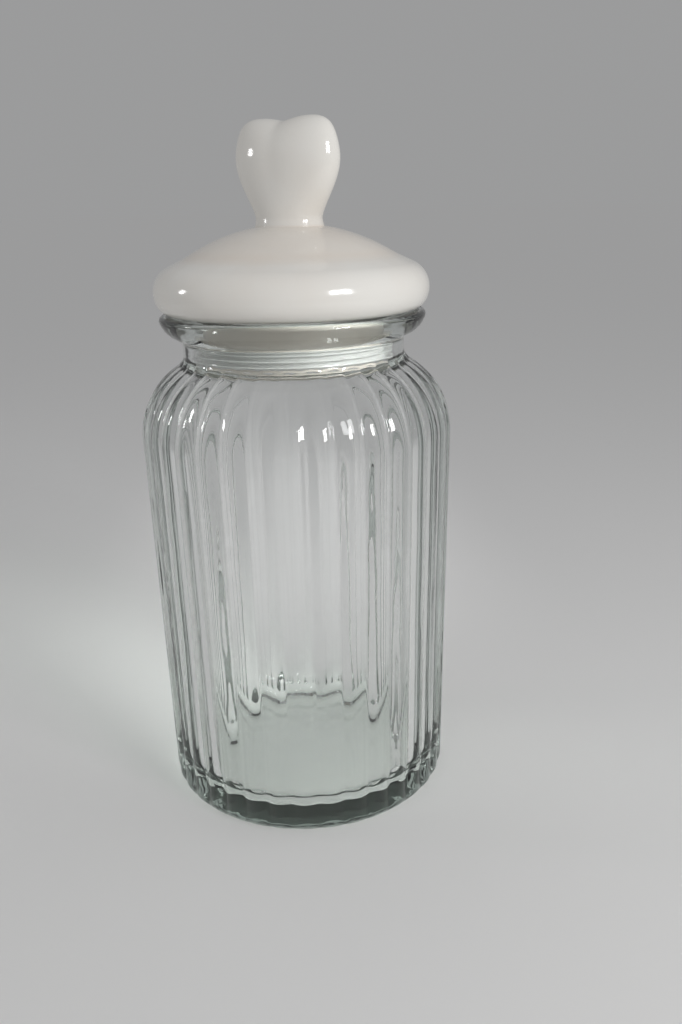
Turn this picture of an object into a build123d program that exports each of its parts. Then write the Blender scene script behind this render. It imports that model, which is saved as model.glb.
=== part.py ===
"""Lidded glass canister: a ribbed, mould-blown glass jar closed by a glazed ceramic lid.

The lid is cast in one hollow piece: a domed cap with a heart-shaped knob on top and a short spigot below.
A clear seal ring with soft fins sits in a groove round the spigot and fills the jar's neck.
Millimetres, +Z up. The origin is on the table, under the jar's axis. The heart's broad face looks along -Y.
"""

import os
from math import acos, atan2, cos, degrees, hypot, radians, sin

from build123d import *

# Jar body, over the crests of its ribs
FOOT_DIAMETER = 114.8
BODY_DIAMETER = 120.6
BODY_HEIGHT = 147.5
HEEL_RADIUS = 6.0
HEEL_START = 25.0  # degrees up the heel's arc, where it leaves the table
SHOULDER_HEIGHT = 27.7
SHOULDER_SWEEP = 65.0  # degrees of the shoulder's oval arc, from the wall to the neck

# Ribs: convex, side by side, with narrow rounded valleys
RIB_COUNT = 36
RIB_DEPTH = 1.4
RIB_DEPTH_AT_NECK = 0.9
RIB_DEPTH_AT_FOOT = 0.4
VALLEY_RADIUS = 1.2

# Neck and flared rim
NECK_DIAMETER = 84.8
NECK_HEIGHT = 8.8
NECK_WALL = 4.6
RIM_OVERHANG = 8.2
RIM_FLARE_HEIGHT = 7.6
RIM_ROUND = 1.8
MOUTH_ROUND = 2.5

# Glass behind the ribs and in the floor
BODY_WALL = 3.6
FLOOR_THICKNESS = 6.5
FLOOR_CORNER = 9.0
PUSH_UP_DIAMETER = 78.0
PUSH_UP_DEPTH = 3.0

# Lid cap: rounded edge, flat cone and dome, one thickness of fired clay all round
LID_SEAT_GAP = 0.3
LID_OVERHANG = 1.4
EDGE_LOWER_WIDTH = 6.0
EDGE_LOWER_HEIGHT = 7.9
EDGE_UPPER_RADIUS = 10.0
COVE_INSET = 12.5
COVE_ROUND = 30.0
COVE_DROP = 11.5
DOME_RISE = 31.6
LID_WALL = 4.5

# Spigot under the lid, with the groove that holds the seal ring
SEAL_SPACE = 3.2
SPIGOT_DEPTH = 18.9
SPIGOT_LIP = 1.3
GROOVE_DEPTH = 0.8

# Seal ring
SEAL_HEIGHT = 8.4
SEAL_BAND = 1.5
SEAL_FIT = 0.1
SEAL_RUNNING_GAP = 0.1
FIN_COUNT = 4
FIN_ROOT = 1.1
FIN_TIP = 0.6
FIN_LIFT = 0.5

# Heart knob: two lobes that lean out of one oval stem
KNOB_HEIGHT = 36.7
KNOB_WIDTH = 45.0
KNOB_THICKNESS = 21.0
STEM_WIDTH = 26.0
STEM_THICKNESS = 22.0
STEM_STRAIGHT = 1.5
STEM_ROOT = 3.0
STEM_FLARE = 1.2  # each way, at the root
LOBE_LEAN = 5.0
LOBE_CAP_HEIGHT = 14.1
LOBE_CAP_LEAN = 6.5

# Places that follow from the sizes above
foot_radius = FOOT_DIAMETER / 2
body_radius = BODY_DIAMETER / 2
neck_radius = NECK_DIAMETER / 2
bore_radius = neck_radius - NECK_WALL
rim_radius = neck_radius + RIM_OVERHANG
shoulder_top = BODY_HEIGHT + SHOULDER_HEIGHT
neck_top = shoulder_top + NECK_HEIGHT
bead_height = neck_top + RIM_FLARE_HEIGHT
jar_height = bead_height + RIM_ROUND
lid_base = jar_height + LID_SEAT_GAP
lid_radius = rim_radius + LID_OVERHANG
edge_height = lid_base + EDGE_LOWER_HEIGHT
edge_centre = lid_radius - EDGE_UPPER_RADIUS
crown_height = lid_base + DOME_RISE
cove_radius = lid_radius - COVE_INSET
cove_height = crown_height - COVE_DROP
dome_radius = (cove_radius**2 + COVE_DROP**2) / (2 * COVE_DROP)
cove_bearing = atan2(cove_height - edge_height, cove_radius - edge_centre)
cove_distance = hypot(cove_radius - edge_centre, cove_height - edge_height)
edge_sweep = degrees(cove_bearing - acos(EDGE_UPPER_RADIUS / cove_distance))
spigot_radius = bore_radius - SEAL_SPACE
spigot_bore = spigot_radius - LID_WALL
spigot_foot = lid_base - SPIGOT_DEPTH
groove_radius = spigot_radius - GROOVE_DEPTH
seal_foot = spigot_foot + SPIGOT_LIP + SEAL_FIT
seal_top = seal_foot + SEAL_HEIGHT


def turned(section):
    """A solid of revolution about Z. The section is drawn flat, as radius and height."""
    return revolve(Plane.XZ * section, Axis.Z)


def outline(*lines):
    """A flat face from the lines and arcs round it."""
    return make_face([edge for line in lines for edge in line.edges()])


def band(inner_radius, outer_radius, foot, top):
    """A rectangular ring section between two radii and two heights."""
    return outline(
        Polyline((inner_radius, foot), (outer_radius, foot), (outer_radius, top), (inner_radius, top), close=True)
    )


def shallow_dome(edge_radius, edge_height, rise):
    """An arc from the axis out to an edge, level where it crosses the axis."""
    arc_radius = (edge_radius**2 + rise**2) / (2 * rise)
    start = degrees(acos(edge_radius / arc_radius))
    return CenterArc((0, edge_height + rise - arc_radius), arc_radius, start, 90 - start)


def ribbed_section(crest_radius, rib_depth, height):
    """One level cut through the ribs: a ring of crest arcs, each tangent to the small valley arcs beside it."""
    pitch = 360 / RIB_COUNT
    half_pitch = radians(pitch / 2)
    valley_centre = crest_radius - rib_depth + VALLEY_RADIUS
    spacing = crest_radius**2 + valley_centre**2 - 2 * crest_radius * valley_centre * cos(half_pitch)
    reach = crest_radius - valley_centre * cos(half_pitch) + VALLEY_RADIUS
    crest_arc_radius = (spacing - VALLEY_RADIUS**2) / (2 * reach)
    crest_axis = Vector(crest_radius - crest_arc_radius, 0, 0)
    valley_axis = Vector(valley_centre, 0, 0).rotate(Axis.Z, pitch / 2)
    share = crest_arc_radius / (crest_arc_radius + VALLEY_RADIUS)
    rib_side = crest_axis + (valley_axis - crest_axis) * share
    other_side = Vector(rib_side.X, -rib_side.Y, 0)
    crest = Vector(crest_radius, 0, 0)
    valley = Vector(crest_radius - rib_depth, 0, 0).rotate(Axis.Z, pitch / 2)
    edges = []
    for rib in range(RIB_COUNT):
        turn = rib * pitch
        start, top, end, low = [point.rotate(Axis.Z, turn) for point in (other_side, crest, rib_side, valley)]
        edges.append(ThreePointArc(start, top, end))
        edges.append(ThreePointArc(end, low, other_side.rotate(Axis.Z, turn + pitch)))
    return Pos(0, 0, height) * outline(*edges)


def ribbed_heel():
    """Sections of the rounded heel, from the table up to the wall. The ribs start shallow."""
    steps = 3
    lift = HEEL_RADIUS * cos(radians(HEEL_START))
    sections = []
    for step in range(steps + 1):
        share = step / steps
        angle = radians(HEEL_START + (90 - HEEL_START) * share)
        radius = foot_radius - HEEL_RADIUS * (1 - sin(angle))
        depth = RIB_DEPTH_AT_FOOT + (RIB_DEPTH - RIB_DEPTH_AT_FOOT) * share
        sections.append(ribbed_section(radius, depth, lift - HEEL_RADIUS * cos(angle)))
    return sections


def ribbed_shoulder():
    """Sections of the shoulder, an oval arc from the wall in to the neck. The ribs crowd together as it closes,
    and run on into the neck, so that each one dies away in a rounded end."""
    steps = 5
    run_on = 1.06
    width = (body_radius - neck_radius) / (1 - cos(radians(SHOULDER_SWEEP)))
    rise = SHOULDER_HEIGHT / sin(radians(SHOULDER_SWEEP))
    sections = []
    for step in range(steps + 1):
        share = run_on * step / steps
        angle = radians(SHOULDER_SWEEP * share)
        radius = body_radius - width * (1 - cos(angle))
        depth = RIB_DEPTH + (RIB_DEPTH_AT_NECK - RIB_DEPTH) * share
        sections.append(ribbed_section(radius, depth, BODY_HEIGHT + rise * sin(angle)))
    return sections


def ribbed_body():
    """The jar's outside up to the neck: heel and shoulder lofted smooth, with the tapered wall ruled between."""
    heel = ribbed_heel()
    shoulder = ribbed_shoulder()
    wall = loft([heel[-1], shoulder[0]], ruled=True)
    return loft(heel) + wall + loft(shoulder)


def neck_and_rim():
    """Smooth neck that flares into a thick rolled rim. It is rooted in the shoulder, under the ends of the ribs."""
    root = shoulder_top - SHOULDER_HEIGHT / 4
    flare_middle = (neck_radius + 0.67 * RIM_OVERHANG, neck_top + 0.38 * RIM_FLARE_HEIGHT)
    rim_edge = (rim_radius, bead_height)
    rim_inner = rim_radius - RIM_ROUND
    section = outline(
        Polyline((rim_inner, jar_height), (0, jar_height), (0, root), (neck_radius, root), (neck_radius, neck_top)),
        ThreePointArc((neck_radius, neck_top), flare_middle, rim_edge),
        CenterArc((rim_inner, bead_height), RIM_ROUND, 0, 90),
    )
    return turned(section)


def jar_inside():
    """The hollow: domed floor with a round corner, smooth wall, shoulder, bore and rounded mouth."""
    foot_inside = foot_radius - RIB_DEPTH - BODY_WALL
    wall_inside = body_radius - RIB_DEPTH - BODY_WALL
    corner_height = FLOOR_THICKNESS + FLOOR_CORNER
    corner_radius = foot_inside + (wall_inside - foot_inside) * corner_height / BODY_HEIGHT
    floor_edge = corner_radius - FLOOR_CORNER
    width = (wall_inside - bore_radius) / (1 - cos(radians(SHOULDER_SWEEP)))
    rise = SHOULDER_HEIGHT / sin(radians(SHOULDER_SWEEP))
    mouth_foot = jar_height - MOUTH_ROUND
    section = outline(
        Line((0, jar_height), (0, FLOOR_THICKNESS + PUSH_UP_DEPTH)),
        shallow_dome(floor_edge, FLOOR_THICKNESS, PUSH_UP_DEPTH),
        CenterArc((floor_edge, corner_height), FLOOR_CORNER, -90, 90),
        Line((corner_radius, corner_height), (wall_inside, BODY_HEIGHT)),
        EllipticalCenterArc((wall_inside - width, BODY_HEIGHT), width, rise, arc_size=SHOULDER_SWEEP),
        Line((bore_radius, shoulder_top), (bore_radius, mouth_foot)),
        CenterArc((bore_radius + MOUTH_ROUND, mouth_foot), MOUTH_ROUND, 180, -90),
        Line((bore_radius + MOUTH_ROUND, jar_height), (0, jar_height)),
    )
    return turned(section)


def push_up():
    """The shallow dome pressed into the underside, which leaves a ring of glass to stand on."""
    edge = PUSH_UP_DIAMETER / 2
    return turned(outline(shallow_dome(edge, 0, PUSH_UP_DEPTH), Polyline((0, PUSH_UP_DEPTH), (0, 0), (edge, 0))))


def glass_jar():
    """The whole jar, one piece of glass."""
    return ribbed_body() + neck_and_rim() - jar_inside() - push_up()


def cap_section():
    """Half section of the solid cap: underside, rounded edge, flat cone that meets the dome in a soft cove."""
    bottom_edge = lid_radius - EDGE_LOWER_WIDTH
    upper_edge = CenterArc((edge_centre, edge_height), EDGE_UPPER_RADIUS, 0, edge_sweep)
    section = outline(
        Polyline((0, crown_height), (0, lid_base), (bottom_edge, lid_base)),
        EllipticalCenterArc((bottom_edge, edge_height), EDGE_LOWER_WIDTH, EDGE_LOWER_HEIGHT, 270, arc_size=90),
        upper_edge,
        Line(upper_edge @ 1, (cove_radius, cove_height)),
        shallow_dome(cove_radius, cove_height, COVE_DROP),
    )
    cove = section.vertices().sort_by_distance((cove_radius, cove_height))[0]
    return fillet(cove, COVE_ROUND)


def cap_hollow():
    """Half section of the space inside the cap, one wall thickness in from its outside."""
    kept = 1 - LID_WALL / dome_radius
    dome = shallow_dome(cove_radius * kept, crown_height - LID_WALL - COVE_DROP * kept, COVE_DROP * kept)
    upper_edge = CenterArc((edge_centre, edge_height), EDGE_UPPER_RADIUS - LID_WALL, 0, edge_sweep)
    floor_height = lid_base + LID_WALL
    floor_edge = ((upper_edge @ 0).X, floor_height)
    return outline(
        dome,
        Polyline(dome @ 1, (0, floor_height), floor_edge, upper_edge @ 0),
        upper_edge,
        Line(upper_edge @ 1, dome @ 0),
    )


def heart_knob(inset):
    """The heart, drawn in by inset: one lobe lofted through ovals that lean out of the stem, then mirrored."""
    widest = KNOB_HEIGHT - LOBE_CAP_HEIGHT
    lobe_half_width = KNOB_WIDTH / 2 - LOBE_LEAN
    stem_steps = 5
    cap_steps = 5
    root = Ellipse(STEM_WIDTH / 2 + STEM_FLARE - inset, STEM_THICKNESS / 2 + STEM_FLARE - inset)
    sections = [Pos(0, 0, -STEM_ROOT - inset) * root]
    for step in range(stem_steps):
        share = step / stem_steps
        swell = share**2 * (3 - 2 * share)
        lean = LOBE_LEAN * swell
        half_width = STEM_WIDTH / 2 + (lobe_half_width - STEM_WIDTH / 2) * swell
        half_thickness = (STEM_THICKNESS + (KNOB_THICKNESS - STEM_THICKNESS) * swell) / 2
        height = STEM_STRAIGHT + (widest - STEM_STRAIGHT) * share
        sections.append(Pos(lean, 0, height) * Ellipse(half_width - inset, half_thickness - inset))
    for step in range(cap_steps):
        angle = radians(90 * step / cap_steps)
        lean = LOBE_LEAN + LOBE_CAP_LEAN * sin(angle) ** 2
        oval = Ellipse((lobe_half_width - inset) * cos(angle), (KNOB_THICKNESS / 2 - inset) * cos(angle))
        sections.append(Pos(lean, 0, widest + (LOBE_CAP_HEIGHT - inset) * sin(angle)) * oval)
    tip = Vertex(LOBE_LEAN + LOBE_CAP_LEAN, 0, KNOB_HEIGHT - inset)
    lobe = split(loft(sections + [tip]), Plane.YZ)
    return Pos(0, 0, crown_height) * (lobe + mirror(lobe, Plane.YZ))


def ceramic_lid():
    """The lid in one piece: cap, spigot with its groove, and the knob, all drained hollow to one wall thickness."""
    spigot = band(spigot_bore, spigot_radius, spigot_foot, lid_base)
    groove = band(groove_radius, spigot_radius, seal_foot - SEAL_FIT, seal_top + SEAL_FIT)
    throat = band(0, spigot_bore, spigot_foot, lid_base + LID_WALL)
    body = turned(cap_section() + spigot - groove - throat - cap_hollow())
    return body + heart_knob(0) - heart_knob(LID_WALL)


def seal_ring():
    """The ring: a plain band with thin fins that rise a little towards their tips and brush the jar's bore."""
    inner = groove_radius + SEAL_FIT
    outer = inner + SEAL_BAND
    tip = bore_radius - SEAL_RUNNING_GAP
    section = band(inner, outer, seal_foot, seal_top)
    pitch = SEAL_HEIGHT / FIN_COUNT
    for fin in range(FIN_COUNT):
        middle = seal_foot + (fin + 0.5) * pitch - FIN_LIFT / 2
        section += outline(
            Polyline(
                (inner, middle - FIN_ROOT / 2),
                (outer, middle - FIN_ROOT / 2),
                (tip, middle + FIN_LIFT - FIN_TIP / 2),
                (tip, middle + FIN_LIFT + FIN_TIP / 2),
                (outer, middle + FIN_ROOT / 2),
                (inner, middle + FIN_ROOT / 2),
                close=True,
            )
        )
    return turned(section)


os.makedirs("parts", exist_ok=True)
for node, piece in (("glass_jar", glass_jar()), ("ceramic_lid", ceramic_lid()), ("seal_ring", seal_ring())):
    export_step(piece, f"parts/{node}.step")
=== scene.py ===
"""Lidded glass canister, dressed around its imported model.

Metres, +Z up. The origin is on the table, under the jar's axis.
"""

from math import acos, atan2, cos, degrees, hypot, pi, radians, sin

import bpy
from mathutils import Matrix, Vector


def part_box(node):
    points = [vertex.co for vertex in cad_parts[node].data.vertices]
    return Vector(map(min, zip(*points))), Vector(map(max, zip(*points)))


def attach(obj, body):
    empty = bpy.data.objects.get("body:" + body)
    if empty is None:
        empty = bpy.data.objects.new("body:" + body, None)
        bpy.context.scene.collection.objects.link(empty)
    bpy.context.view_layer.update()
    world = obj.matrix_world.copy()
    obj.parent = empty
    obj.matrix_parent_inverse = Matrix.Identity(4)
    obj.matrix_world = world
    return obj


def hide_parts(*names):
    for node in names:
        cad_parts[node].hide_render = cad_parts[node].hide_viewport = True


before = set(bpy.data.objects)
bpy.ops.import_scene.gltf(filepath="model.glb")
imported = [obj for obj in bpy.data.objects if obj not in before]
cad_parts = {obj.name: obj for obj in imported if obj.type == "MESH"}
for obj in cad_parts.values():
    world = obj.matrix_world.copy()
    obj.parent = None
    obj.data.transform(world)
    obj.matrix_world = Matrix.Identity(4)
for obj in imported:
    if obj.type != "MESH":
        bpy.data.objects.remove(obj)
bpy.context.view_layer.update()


# Glass jar. Clear soda-lime glass, blown in one go into a ribbed mould: crisp outside, soft inside.
# One rib is modelled as a narrow wedge: up the outside, over the rim, down the inside, under the floor.
# The wedge is then copied round the axis and welded into one closed shell of glass.

jar_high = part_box("glass_jar")[1]
jar_height = jar_high.z
body_radius = jar_high.x
foot_taper = 0.0029
foot_radius = body_radius - foot_taper
body_height = 0.1475
heel_radius = 0.006
heel_start = 25
shoulder_sweep = 65
shoulder_end = 58
shoulder_height = 0.0277
rib_count = 36
rib_columns = 14
rib_depth = 0.0014
rib_depth_at_foot = 0.0001
rib_depth_at_neck = 0.0007
rib_roundness = 1.12
inside_ripple = 0.0006
neck_radius = 0.0424
neck_top = 0.184
bore_radius = 0.0378
rim_radius = 0.0506
flare_middle_out = 0.67
flare_middle_up = 0.38
rim_round = 0.0018
mouth_round = 0.0025
body_wall = 0.0036
floor_thickness = 0.0065
floor_corner = 0.013
push_up_radius = 0.039
push_up_depth = 0.003
base_fade = 0.006
base_clearing = 0.15


def arc(centre, radius, start, end, steps, stretch=1.0):
    """Points of a half section, as radius and height, along an arc. Angles in degrees, 0 straight out."""
    points = []
    for step in range(steps + 1):
        angle = radians(start + (end - start) * step / steps)
        points.append((centre[0] + radius * cos(angle), centre[1] + stretch * radius * sin(angle)))
    return points


def line(start, end, steps):
    """Evenly spaced points of a half section, along a straight line."""
    return [
        (start[0] + (end[0] - start[0]) * step / steps, start[1] + (end[1] - start[1]) * step / steps)
        for step in range(steps + 1)
    ]


def dome(edge_radius, edge_height, rise, steps):
    """Points of a half section along a shallow dome, from its edge in to the axis."""
    radius = (edge_radius**2 + rise**2) / (2 * rise)
    start = degrees(acos(edge_radius / radius))
    return arc((0, edge_height + rise - radius), radius, start, 90, steps)


def draw_profile(name, points):
    """A new object that is one chain of edges along a half section. It is left in edit mode, all selected."""
    bpy.ops.object.select_all(action="DESELECT")
    bpy.ops.mesh.primitive_plane_add(size=0.01, enter_editmode=True)
    bpy.ops.mesh.merge(type="CENTER")
    bpy.ops.transform.translate(value=(points[0][0], 0, points[0][1]))
    for here, there in zip(points, points[1:]):
        step = (there[0] - here[0], 0, there[1] - here[1])
        bpy.ops.mesh.extrude_vertices_move(TRANSFORM_OT_translate={"value": step})
    bpy.ops.mesh.select_all(action="SELECT")
    piece = bpy.context.object
    piece.name = piece.data.name = name
    return piece


def weld(piece):
    """Merges the seams of the piece in edit mode, turns its faces outwards and shades it smooth."""
    bpy.ops.mesh.select_all(action="SELECT")
    bpy.ops.mesh.remove_doubles(threshold=0.000002)
    bpy.ops.mesh.normals_make_consistent(inside=False)
    bpy.ops.object.mode_set(mode="OBJECT")
    bpy.ops.object.shade_smooth()


def jar_profile():
    """The jar's half section through a valley, each point with the height of the rib beside it."""
    profile = []
    heel_lift = heel_radius * cos(radians(heel_start))
    heel_steps = 8
    for step in range(heel_steps + 1):
        angle = radians(heel_start + (90 - heel_start) * step / heel_steps)
        depth = rib_depth_at_foot + (rib_depth - rib_depth_at_foot) * (step / heel_steps) ** 2
        crest = foot_radius - heel_radius * (1 - sin(angle))
        profile.append((crest - depth, heel_lift - heel_radius * cos(angle), depth))
    wall_foot, wall_top = (foot_radius - rib_depth, heel_lift), (body_radius - rib_depth, body_height)
    wall = line(wall_foot, wall_top, steps=14)
    profile += [(radius, height, rib_depth) for radius, height in wall[1:]]
    width = (body_radius - neck_radius) / (1 - cos(radians(shoulder_sweep)))
    rise = shoulder_height / sin(radians(shoulder_sweep))
    shoulder_steps = 22
    for step in range(1, shoulder_steps + 1):
        angle = radians(shoulder_end * step / shoulder_steps)
        depth = rib_depth + (rib_depth_at_neck - rib_depth) * (step / shoulder_steps) ** 2
        crest = body_radius - width * (1 - cos(angle))
        profile.append((crest - depth, body_height + rise * sin(angle), depth))
    turn = 90 - degrees(atan2(rise * cos(angle), width * sin(angle)))
    fillet = (profile[-1][0] - neck_radius) / (1 - cos(radians(turn)))
    fillet_height = profile[-1][1] + fillet * sin(radians(turn))
    rib_end = 11
    into_neck = arc((neck_radius + fillet, fillet_height), fillet, 180 + turn, 180, steps=12)
    for step, point in enumerate(into_neck[1:], 1):
        left = max(0, 1 - (step / rib_end) ** 2)
        profile.append((*point, rib_depth_at_neck * left))
    bead_height = jar_height - rim_round
    flare_width, flare_height = rim_radius - neck_radius, bead_height - neck_top
    bow = ((flare_middle_out - 0.5) * flare_width, (flare_middle_up - 0.5) * flare_height)
    smooth = line((neck_radius, fillet_height), (neck_radius, neck_top), steps=3)[1:]
    flare_steps = 10
    flare = line((neck_radius, neck_top), (rim_radius, bead_height), flare_steps)
    for step, (radius, height) in enumerate(flare[1:], 1):
        share = step / flare_steps
        bulge = 4 * share * (1 - share)
        smooth.append((radius + bulge * bow[0], height + bulge * bow[1]))
    smooth += arc((rim_radius - rim_round, bead_height), rim_round, 0, 90, steps=9)[1:]
    mouth_edge = (bore_radius + mouth_round, jar_height)
    smooth += line((rim_radius - rim_round, jar_height), mouth_edge, steps=4)[1:]
    smooth += arc((mouth_edge[0], jar_height - mouth_round), mouth_round, 90, 180, steps=7)[1:]
    shoulder_top = body_height + shoulder_height
    smooth += line((bore_radius, jar_height - mouth_round), (bore_radius, shoulder_top), steps=4)[1:]
    profile += [(*point, 0) for point in smooth]
    wall_inside = body_radius - rib_depth - body_wall
    foot_inside = foot_radius - rib_depth - body_wall
    inside_width = (wall_inside - bore_radius) / (1 - cos(radians(shoulder_sweep)))
    centre = (wall_inside - inside_width, body_height)
    inside = arc(centre, inside_width, shoulder_sweep, 0, steps=18, stretch=rise / inside_width)[1:]
    corner_height = floor_thickness + floor_corner
    corner_radius = foot_inside + (wall_inside - foot_inside) * corner_height / body_height
    inside += line((wall_inside, body_height), (corner_radius, corner_height), steps=12)[1:]
    fade_steps = 9
    for step, point in enumerate(inside, 1):
        share = min(1, step / fade_steps)
        profile.append((*point, inside_ripple * share**2 * (3 - 2 * share)))
    floor_edge = corner_radius - floor_corner
    corner_steps = 9
    corner = arc((floor_edge, corner_height), floor_corner, 0, -90, corner_steps)
    for step, point in enumerate(corner[1:], 1):
        profile.append((*point, inside_ripple * (1 - (step / corner_steps) ** 2)))
    under = dome(floor_edge, floor_thickness, push_up_depth, steps=10)[1:]
    under += dome(push_up_radius, 0, push_up_depth, steps=10)[::-1]
    under += line((push_up_radius, 0), profile[0][:2], steps=4)[1:-1]
    profile += [(*point, 0) for point in under]
    return profile + profile[:1]


profile = jar_profile()
jar = draw_profile("jar_of_ribbed_glass", [point[:2] for point in profile])
bpy.ops.object.mode_set(mode="OBJECT")
rib_heights = jar.vertex_groups.new(name="rib_heights")
for index, point in enumerate(profile):
    rib_heights.add([index], point[2] / rib_depth, "REPLACE")
bpy.ops.object.mode_set(mode="EDIT")
bpy.ops.mesh.select_all(action="SELECT")
rib_pitch = 2 * pi / rib_count
bpy.ops.mesh.spin(steps=rib_columns, angle=rib_pitch, center=(0, 0, 0), axis=(0, 0, 1))
bpy.ops.object.mode_set(mode="OBJECT")
for vertex in jar.data.vertices:
    radius = hypot(vertex.co.x, vertex.co.y)
    if radius > bore_radius / 2:
        across = 2 * (abs(atan2(vertex.co.y, vertex.co.x)) / rib_pitch) - 1
        swell = rib_depth * rib_heights.weight(vertex.index) * max(0, 1 - across**2) ** rib_roundness
        vertex.co.x *= 1 + swell / radius
        vertex.co.y *= 1 + swell / radius
jar.vertex_groups.clear()
bpy.ops.object.mode_set(mode="EDIT")
bpy.ops.mesh.select_all(action="SELECT")
bpy.ops.mesh.spin(
    steps=rib_count - 1, dupli=True, angle=2 * pi - rib_pitch, center=(0, 0, 0), axis=(0, 0, 1)
)
weld(jar)


def new_material(name):
    """A fresh node material: its nodes, its links, its main shader and a texture coordinate node."""
    material = bpy.data.materials.new(name)
    material.use_nodes = True
    nodes, links = material.node_tree.nodes, material.node_tree.links
    return material, nodes, links, nodes["Principled BSDF"], nodes.new("ShaderNodeTexCoord")


def noise(nodes, links, coordinates, scale, detail, stretch=(1, 1, 1)):
    """A noise pattern on object coordinates, drawn out along an axis where stretch is under 1."""
    mapping = nodes.new("ShaderNodeMapping")
    mapping.inputs["Scale"].default_value = stretch
    pattern = nodes.new("ShaderNodeTexNoise")
    pattern.inputs["Scale"].default_value = scale
    pattern.inputs["Detail"].default_value = detail
    links.new(coordinates.outputs["Object"], mapping.inputs["Vector"])
    links.new(mapping.outputs["Vector"], pattern.inputs["Vector"])
    return pattern


def relief(nodes, links, height, strength, distance, below=None):
    """A bump node driven by a height, laid over another bump node if one is given."""
    bump = nodes.new("ShaderNodeBump")
    bump.inputs["Strength"].default_value = strength
    bump.inputs["Distance"].default_value = distance
    links.new(height, bump.inputs["Height"])
    if below:
        links.new(below.outputs["Normal"], bump.inputs["Normal"])
    return bump


def ramp(nodes, links, value, start, end):
    """A node that turns one range of a value into another, and holds it at the ends."""
    change = nodes.new("ShaderNodeMapRange")
    change.inputs["From Min"].default_value, change.inputs["From Max"].default_value = start
    change.inputs["To Min"].default_value, change.inputs["To Max"].default_value = end
    links.new(value, change.inputs["Value"])
    return change


def clear_glass():
    """Clear glass with a faint grey-green body, slow waves from blowing and a trace of handling haze."""
    material, nodes, links, shader, place = new_material("clear_ribbed_glass")
    shader.inputs["Base Color"].default_value = (1, 1, 1, 1)
    shader.inputs["Transmission Weight"].default_value = 1.0
    shader.inputs["IOR"].default_value = 1.5
    waves = noise(nodes, links, place, scale=70, detail=1.5, stretch=(1, 1, 0.35))
    wavy = relief(nodes, links, waves.outputs["Fac"], strength=0.3, distance=0.001)
    links.new(wavy.outputs["Normal"], shader.inputs["Normal"])
    clouds = noise(nodes, links, place, scale=45, detail=4)
    haze = ramp(nodes, links, clouds.outputs["Fac"], (0.5, 0.8), (0, 0.012))
    links.new(haze.outputs["Result"], shader.inputs["Roughness"])
    body = nodes.new("ShaderNodeVolumeAbsorption")
    body.inputs["Color"].default_value = (0.68, 0.79, 0.73, 1)
    body.inputs["Density"].default_value = 16
    links.new(body.outputs["Volume"], nodes["Material Output"].inputs["Volume"])
    lamp_light = nodes.new("ShaderNodeBsdfTransparent")
    lamp_light.inputs["Color"].default_value = (0.86, 0.88, 0.866, 1)
    ray = nodes.new("ShaderNodeLightPath")
    split = nodes.new("ShaderNodeSeparateXYZ")
    links.new(place.outputs["Object"], split.inputs["Vector"])
    base_top = (floor_thickness + base_fade, floor_thickness)
    in_base = ramp(nodes, links, split.outputs["Z"], base_top, (0, base_clearing))
    caught = ramp(nodes, links, ray.outputs["Ray Depth"], (4, 5), (0, 1))
    gets_out = nodes.new("ShaderNodeMath")
    gets_out.operation = "MULTIPLY_ADD"
    links.new(in_base.outputs["Result"], gets_out.inputs[0])
    links.new(caught.outputs["Result"], gets_out.inputs[1])
    links.new(ray.outputs["Is Shadow Ray"], gets_out.inputs[2])
    through = nodes.new("ShaderNodeMixShader")
    links.new(gets_out.outputs["Value"], through.inputs["Fac"])
    links.new(shader.outputs["BSDF"], through.inputs[1])
    links.new(lamp_light.outputs["BSDF"], through.inputs[2])
    links.new(through.outputs["Shader"], nodes["Material Output"].inputs["Surface"])
    return material


jar.data.materials.append(clear_glass())
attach(jar, "jar")
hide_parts("glass_jar")


# Seal ring. Clear soft silicone, moulded as a plain band with thin fins that brush the neck's bore.
# It is stretched into the groove round the lid's spigot, so it rises with the lid.

ring_low, ring_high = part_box("seal_ring")
ring_inner = 0.0339
ring_band = 0.0015
ring_corner = 0.0003
fin_count = 4
fin_reach = ring_high.x
fin_root = 0.0011
fin_tip = 0.0006
fin_lift = 0.0005


def ring_profile():
    """The ring's half section: up the finned outside, then down the plain bore."""
    outer = ring_inner + ring_band
    pitch = (ring_high.z - ring_low.z) / fin_count
    points = [(ring_inner + ring_corner, ring_low.z), (outer - ring_corner, ring_low.z)]
    points += [(outer, ring_low.z + ring_corner)]
    for fin in range(fin_count):
        middle = ring_low.z + (fin + 0.5) * pitch - fin_lift / 2
        tip_centre = (fin_reach - fin_tip / 2, middle + fin_lift)
        points += [(outer, middle - fin_root / 2)]
        points += arc(tip_centre, fin_tip / 2, -80, 80, steps=6)
        points += [(outer, middle + fin_root / 2)]
    points += [(outer, ring_high.z - ring_corner), (outer - ring_corner, ring_high.z)]
    points += [(ring_inner + ring_corner, ring_high.z), (ring_inner, ring_high.z - ring_corner)]
    points += [(ring_inner, ring_low.z + ring_corner)]
    return points + points[:1]


def spin_round(piece, steps):
    """Spins the profile in edit mode all the way round the axis."""
    bpy.ops.mesh.spin(steps=steps, angle=2 * pi, center=(0, 0, 0), axis=(0, 0, 1))
    weld(piece)
    bpy.ops.object.shade_smooth_by_angle(angle=radians(35))


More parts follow.
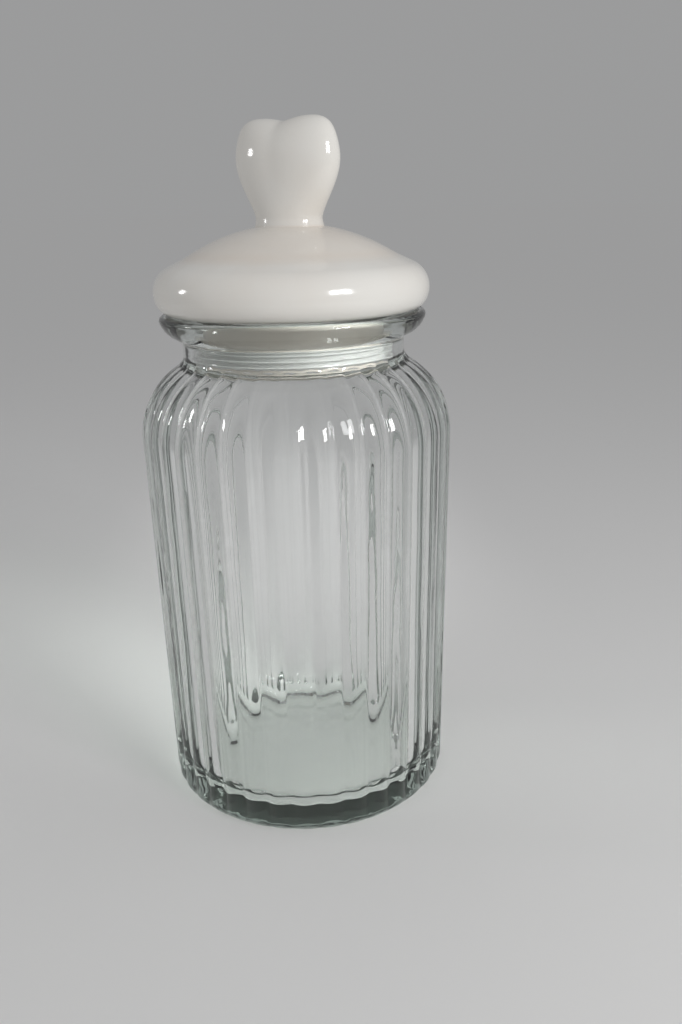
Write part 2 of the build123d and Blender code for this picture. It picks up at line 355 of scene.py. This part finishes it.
def clear_silicone():
    """Milky clear silicone: soft, satin, a little clouded by its mould."""
    material, nodes, links, shader, place = new_material("clear_silicone")
    shader.inputs["Base Color"].default_value = (0.93, 0.935, 0.92, 1)
    shader.inputs["Transmission Weight"].default_value = 0.25
    shader.inputs["IOR"].default_value = 1.41
    cloud = noise(nodes, links, place, scale=320, detail=3)
    satin = ramp(nodes, links, cloud.outputs["Fac"], (0, 1), (0.22, 0.42))
    links.new(satin.outputs["Result"], shader.inputs["Roughness"])
    grain = relief(nodes, links, cloud.outputs["Fac"], strength=0.15, distance=0.0002)
    links.new(grain.outputs["Normal"], shader.inputs["Normal"])
    return material


ring = draw_profile("clear_seal_ring", ring_profile())
spin_round(ring, steps=240)
ring.data.materials.append(clear_silicone())
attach(ring, "seal")
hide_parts("seal_ring")


# Ceramic lid. Earthenware, slip-cast in one piece and dipped in a cream-white gloss glaze.
# The cap and its spigot are turned, the heart is two lobes that lean out of an oval stem,
# and the two are united. The lid rests on the jar's rim, with its spigot down the neck.

lid_low, lid_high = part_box("ceramic_lid")
lid_radius = lid_high.x
seat_gap = 0.0003
lid_base = jar_height + seat_gap
lid_wall = 0.0045
edge_lower_width = 0.006
edge_lower_height = 0.0079
edge_upper = 0.010
cove_inset = 0.0125
cove_drop = 0.0115
cove_soften = 0.002
dome_rise = 0.0316
spigot_radius = 0.0346
groove_depth = 0.0008
groove_play = 0.0001
spigot_corner = 0.0006
hollow_edge = (0.002, 0.001)
hollow_shoulder = (0.001, 0.0008)
hollow_dome_inset = 0.0015
knob_height = lid_high.z - lid_base - dome_rise
knob_width = 0.045
knob_thickness = 0.021
stem_width = 0.026
stem_thickness = 0.022
stem_straight = 0.0015
stem_root = 0.003
stem_flare = 0.0012
taper_power = 1.3
lobe_lean = 0.003
lobe_lean_power = 3
lobe_cap_height = 0.0141
lobe_cap_lean = 0.008
lobe_cap_power = 2.5
cleft_width = 0.007


def cap_profile():
    """The cap and spigot in half section: over the dome, in under the edge, round the spigot, up inside."""
    crown = lid_base + dome_rise
    cove = (lid_radius - cove_inset, crown - cove_drop)
    edge_height = lid_base + edge_lower_height
    edge_centre = (lid_radius - edge_upper, edge_height)
    to_cove = (cove[0] - edge_centre[0], cove[1] - edge_centre[1])
    edge_sweep = degrees(atan2(to_cove[1], to_cove[0]) - acos(edge_upper / hypot(*to_cove)))
    upper_edge = arc(edge_centre, edge_upper, edge_sweep, 0, steps=14)
    crown_arc = dome(*cove, cove_drop, steps=24)[::-1]
    over = [point for point in crown_arc if hypot(point[0] - cove[0], point[1] - cove[1]) > cove_soften]
    cone_end = upper_edge[0]
    cone_length = hypot(cone_end[0] - cove[0], cone_end[1] - cove[1])
    cone_start = tuple(cove[i] + (cone_end[i] - cove[i]) * cove_soften / cone_length for i in (0, 1))
    bend_start = over[-1]
    bend_steps = 8
    for step in range(1, bend_steps + 1):
        share = step / bend_steps
        pulls = ((1 - share) ** 2, 2 * share * (1 - share), share**2)
        ends = (bend_start, cove, cone_start)
        over.append(tuple(sum(pull * end[i] for pull, end in zip(pulls, ends)) for i in (0, 1)))
    over += line(cone_start, cone_end, steps=3)[1:]
    over += upper_edge[1:]
    bottom_edge = lid_radius - edge_lower_width
    drop = edge_lower_height / edge_lower_width
    over += arc((bottom_edge, edge_height), edge_lower_width, 0, -90, steps=12, stretch=drop)[1:]
    under = line((bottom_edge, lid_base), (spigot_radius, lid_base), steps=4)[1:]
    groove = spigot_radius - groove_depth
    groove_top, groove_foot = ring_high.z + groove_play, ring_low.z - groove_play
    under += [(spigot_radius, groove_top), (groove, groove_top)]
    under += [(groove, groove_foot), (spigot_radius, groove_foot)]
    corner_height = lid_low.z + spigot_corner
    under += arc((spigot_radius - spigot_corner, corner_height), spigot_corner, 0, -90, steps=4)
    bore = spigot_radius - lid_wall
    under += arc((bore + spigot_corner, corner_height), spigot_corner, -90, -180, steps=4)
    under += line((bore, corner_height), (bore, lid_base + lid_wall), steps=3)[1:]
    inner_edge = bottom_edge - lid_wall / 2
    under += [(inner_edge, lid_base + lid_wall)]
    under += [(inner_edge + hollow_edge[0], edge_height + hollow_edge[1])]
    under += [(cone_end[0] - hollow_shoulder[0], cone_end[1] - lid_wall - hollow_shoulder[1])]
    under += dome(cove[0] - hollow_dome_inset, cove[1] - lid_wall, cove_drop, steps=14)
    return over + under


def bake_modifier(piece, name, kind, **settings):
    """Adds one modifier to a piece and applies it."""
    modifier = piece.modifiers.new(name, kind)
    for setting, value in settings.items():
        setattr(modifier, setting, value)
    bpy.ops.object.select_all(action="DESELECT")
    piece.select_set(True)
    bpy.context.view_layer.objects.active = piece
    bpy.ops.object.modifier_apply(modifier=modifier.name)


def heart(name):
    """The knob as a closed form: one lobe built up ring by ring, cut at the middle, mirrored and softened."""
    foot = lid_base + dome_rise
    widest = knob_height - lobe_cap_height
    lobe_half_width = knob_width / 2 - lobe_lean
    rings = [(0, -stem_root, stem_width / 2 + stem_flare, stem_thickness / 2 + stem_flare)]
    stem_steps = 26
    for step in range(stem_steps):
        share = step / stem_steps
        swell = sin(share * pi / 2) ** taper_power
        half_width = (stem_width + (knob_width - stem_width) * swell) / 2
        half_thickness = (stem_thickness + (knob_thickness - stem_thickness) * swell) / 2
        height = stem_straight + (widest - stem_straight) * share
        lean = lobe_lean * swell**lobe_lean_power
        rings.append((lean, height, half_width - lean, half_thickness))
    cap_steps = 22
    for step in range(cap_steps):
        angle = radians(90 * step / cap_steps)
        lean = lobe_lean + lobe_cap_lean * sin(angle) ** lobe_cap_power
        height = widest + lobe_cap_height * sin(angle)
        rings.append((lean, height, lobe_half_width * cos(angle), knob_thickness / 2 * cos(angle)))
    bpy.ops.object.select_all(action="DESELECT")
    bpy.ops.mesh.primitive_circle_add(vertices=96, radius=1, fill_type="NGON", enter_editmode=True)
    lean, height, half_width, half_thickness = rings[0]
    bpy.ops.transform.resize(value=(half_width, half_thickness, 1))
    bpy.ops.transform.translate(value=(lean, 0, foot + height))
    for here, there in zip(rings, rings[1:]):
        step = (there[0] - here[0], 0, there[1] - here[1])
        bpy.ops.mesh.extrude_region_move(TRANSFORM_OT_translate={"value": step})
        size = (there[2] / here[2], there[3] / here[3], 1)
        bpy.ops.transform.resize(value=size, center_override=(there[0], 0, foot + there[1]))
    tip = (lobe_lean + lobe_cap_lean - rings[-1][0], 0, knob_height - rings[-1][1])
    bpy.ops.mesh.extrude_region_move(TRANSFORM_OT_translate={"value": tip})
    bpy.ops.mesh.merge(type="CENTER")
    bpy.ops.mesh.select_all(action="SELECT")
    bpy.ops.mesh.bisect(plane_co=(0, 0, 0), plane_no=(1, 0, 0), clear_inner=True)
    bpy.ops.object.mode_set(mode="OBJECT")
    knob = bpy.context.object
    knob.name = knob.data.name = name
    bake_modifier(knob, "other_lobe", "MIRROR", use_axis=(True, False, False), merge_threshold=0.00001)
    bpy.ops.object.mode_set(mode="EDIT")
    weld(knob)
    bake_modifier(knob, "even_skin", "REMESH", mode="VOXEL", voxel_size=0.0006, use_smooth_shade=True)
    bake_modifier(knob, "soft_glaze", "SMOOTH", factor=0.5, iterations=12)
    cleft = knob.vertex_groups.new(name="cleft")
    for vertex in knob.data.vertices:
        if vertex.co.z > foot + knob_height / 4:
            cleft.add([vertex.index], max(0, 1 - abs(vertex.co.x) / cleft_width), "REPLACE")
    bake_modifier(knob, "soft_cleft", "SMOOTH", factor=0.5, iterations=50, vertex_group="cleft")
    return knob


def cream_glaze():
    """Cream-white gloss glaze on pale clay, with a faint orange peel and random warm mottling. The dome is
    painted warmer and darker, partly for its thinner glaze and partly as painted shade, and a band of painted
    shade follows the cove crease.
    """
    material, nodes, links, shader, place = new_material("cream_gloss_glaze")
    crown = lid_base + dome_rise
    cove = lid_radius - cove_inset
    split = nodes.new("ShaderNodeSeparateXYZ")
    links.new(place.outputs["Object"], split.inputs["Vector"])
    level = nodes.new("ShaderNodeVectorMath")
    level.operation = "MULTIPLY"
    level.inputs[1].default_value = (1, 1, 0)
    links.new(place.outputs["Object"], level.inputs[0])
    out = nodes.new("ShaderNodeVectorMath")
    out.operation = "LENGTH"
    links.new(level.outputs["Vector"], out.inputs[0])
    # Painted shade: the dome is painted warmer and darker than the edge, partly for its thinner glaze and
    # partly as the shade of the up-facing dome.
    dome_shade_and_thin_glaze = ramp(nodes, links, out.outputs["Value"], (cove + 0.003, cove - 0.002), (0, 0.65))
    from_cove = nodes.new("ShaderNodeMath")
    from_cove.operation = "SUBTRACT"
    from_cove.inputs[1].default_value = cove
    links.new(out.outputs["Value"], from_cove.inputs[0])
    how_far = nodes.new("ShaderNodeMath")
    how_far.operation = "ABSOLUTE"
    links.new(from_cove.outputs["Value"], how_far.inputs[0])
    # Painted shade: a warmer, darker band along the cove crease.
    cove_crease_shade = ramp(nodes, links, how_far.outputs["Value"], (0.005, 0.001), (0, 0.3))
    under_knob = ramp(nodes, links, split.outputs["Z"], (crown - 0.0004, crown - 0.0012), (0, 1))
    clouds = noise(nodes, links, place, scale=38, detail=3)
    cloudy = ramp(nodes, links, clouds.outputs["Fac"], (0.38, 0.72), (0.0, 0.35))
    mottle_and_crease_shade = nodes.new("ShaderNodeMath")
    mottle_and_crease_shade.operation = "ADD"
    links.new(cloudy.outputs["Result"], mottle_and_crease_shade.inputs[0])
    links.new(cove_crease_shade.outputs["Result"], mottle_and_crease_shade.inputs[1])
    painted_shade_and_mottle = nodes.new("ShaderNodeMath")
    painted_shade_and_mottle.operation = "MULTIPLY_ADD"
    links.new(dome_shade_and_thin_glaze.outputs["Result"], painted_shade_and_mottle.inputs[0])
    links.new(under_knob.outputs["Result"], painted_shade_and_mottle.inputs[1])
    links.new(mottle_and_crease_shade.outputs["Value"], painted_shade_and_mottle.inputs[2])
    # A is the glaze's own cream. B is the warmer, darker tone used for the thin glaze, the painted shade on
    # the dome and cove, and the random mottling.
    tone = nodes.new("ShaderNodeMix")
    tone.data_type = "RGBA"
    tone.inputs["A"].default_value = (0.82, 0.80, 0.757, 1)
    tone.inputs["B"].default_value = (0.77, 0.71, 0.64, 1)
    links.new(painted_shade_and_mottle.outputs["Value"], tone.inputs["Factor"])
    links.new(tone.outputs["Result"], shader.inputs["Base Color"])
    polish = noise(nodes, links, place, scale=90, detail=2)
    gloss = ramp(nodes, links, polish.outputs["Fac"], (0, 1), (0.06, 0.16))
    links.new(gloss.outputs["Result"], shader.inputs["Roughness"])
    shader.inputs["IOR"].default_value = 1.52
    peel = noise(nodes, links, place, scale=420, detail=1)
    swell = noise(nodes, links, place, scale=55, detail=1)
    soft = relief(nodes, links, swell.outputs["Fac"], strength=0.25, distance=0.0012)
    fine = relief(nodes, links, peel.outputs["Fac"], strength=0.06, distance=0.0003, below=soft)
    links.new(fine.outputs["Normal"], shader.inputs["Normal"])
    return material


lid = draw_profile("ceramic_lid_with_heart_knob", cap_profile())
spin_round(lid, steps=192)
knob = heart("heart_knob")
bake_modifier(lid, "knob_joint", "BOOLEAN", operation="UNION", object=knob, solver="EXACT")
bpy.data.objects.remove(knob)
bpy.ops.object.shade_smooth_by_angle(angle=radians(35))
lid.data.materials.clear()
lid.data.materials.append(cream_glaze())
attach(lid, "lid")
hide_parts("ceramic_lid")


# Floor and light. A plain pale floor under a pale sky, a window of two panes to the right, a weaker one left.
# A narrow lamp brightens the floor behind the jar, so that the ribs show.
# All this is the studio, and no part of the canister.

floor_radius = 30.0
floor_drop = 0.0002
floor_colour = (0.78, 0.775, 0.766, 1)
horizon_colour = (0.328, 0.329, 0.331, 1)
bpy.ops.object.select_all(action="DESELECT")
bpy.ops.mesh.primitive_circle_add(
    vertices=128, radius=floor_radius, fill_type="NGON", location=(0, 0, -floor_drop)
)
floor = bpy.context.object
floor.name = "studio_floor"
material, nodes, links, shader, place = new_material("matt_paper")
shader.inputs["Base Color"].default_value = floor_colour
shader.inputs["Roughness"].default_value = 0.9
shader.inputs["Specular IOR Level"].default_value = 0
floor.data.materials.append(material)

world = bpy.data.worlds.new("pale_room")
bpy.context.scene.world = world
world.use_nodes = True
nodes, links = world.node_tree.nodes, world.node_tree.links
sky = nodes["Background"]
sky.inputs["Color"].default_value = (0.42, 0.423, 0.43, 1)
horizon = nodes.new("ShaderNodeBackground")
horizon.inputs["Color"].default_value = horizon_colour
ray = nodes.new("ShaderNodeLightPath")
seen = nodes.new("ShaderNodeMath")
seen.operation = "MAXIMUM"
seen_or_mirrored = nodes.new("ShaderNodeMath")
seen_or_mirrored.operation = "MAXIMUM"
either = nodes.new("ShaderNodeMixShader")
links.new(ray.outputs["Is Camera Ray"], seen.inputs[0])
links.new(ray.outputs["Is Transmission Ray"], seen.inputs[1])
links.new(seen.outputs["Value"], seen_or_mirrored.inputs[0])
links.new(ray.outputs["Is Glossy Ray"], seen_or_mirrored.inputs[1])
links.new(seen_or_mirrored.outputs["Value"], either.inputs["Fac"])
links.new(sky.outputs["Background"], either.inputs[1])
links.new(horizon.outputs["Background"], either.inputs[2])
links.new(either.outputs["Shader"], nodes["World Output"].inputs["Surface"])


def window(name, place, aim, width, height, power):
    """A soft rectangular lamp at a place, turned to face a point. The camera doesn't see it."""
    bpy.ops.object.light_add(type="AREA", location=place)
    lamp = bpy.context.object
    lamp.name = lamp.data.name = name
    lamp.data.shape = "RECTANGLE"
    lamp.data.size = width
    lamp.data.size_y = height
    lamp.data.energy = power
    lamp.rotation_euler = (Vector(aim) - Vector(place)).to_track_quat("-Z", "Y").to_euler()
    lamp.visible_camera = False
    return lamp


middle = (0, 0, 0.14)
floor_behind = (-0.2, 0.26, 0)
window("window_right_near", (0.732, -0.108, 0.45), middle, width=0.08, height=0.2, power=1.35)
window("window_right_far", (0.706, -0.222, 0.45), middle, width=0.08, height=0.2, power=1.35)
window("window_left", (-0.66, -0.378, 0.39), middle, width=0.09, height=0.12, power=0.5)
behind = window("lamp_behind", (-0.244, 0.317, 0.7), floor_behind, width=0.05, height=0.4, power=0.04)
behind.data.spread = radians(24)


# Camera. It stands close and a little above, where the picture was taken from.
# It is tipped down, panned a little to the right and rolled by a hair.

picture_height = 1024
focal_pixels = 954.4
heart_turn = 37.5
distance = 0.3709
eye_height = 0.2318
tip_down = 17.917
pan_right = 2.536
roll = -1.487
sensor = 36.0
around = Matrix.Rotation(radians(heart_turn), 3, "Z")
turn = Matrix.Rotation(radians(heart_turn - pan_right), 3, "Z")
tilt = Matrix.Rotation(radians(90 - tip_down), 3, "X")
bpy.ops.object.camera_add(location=around @ Vector((0, -distance, eye_height)))
camera = bpy.context.object
camera.rotation_euler = (turn @ tilt @ Matrix.Rotation(radians(roll), 3, "Z")).to_euler()
camera.data.sensor_width = sensor
camera.data.lens = sensor * focal_pixels / picture_height
camera.data.clip_start = 0.01
bpy.context.scene.camera = camera
bpy.context.scene.view_settings.view_transform = "Standard"
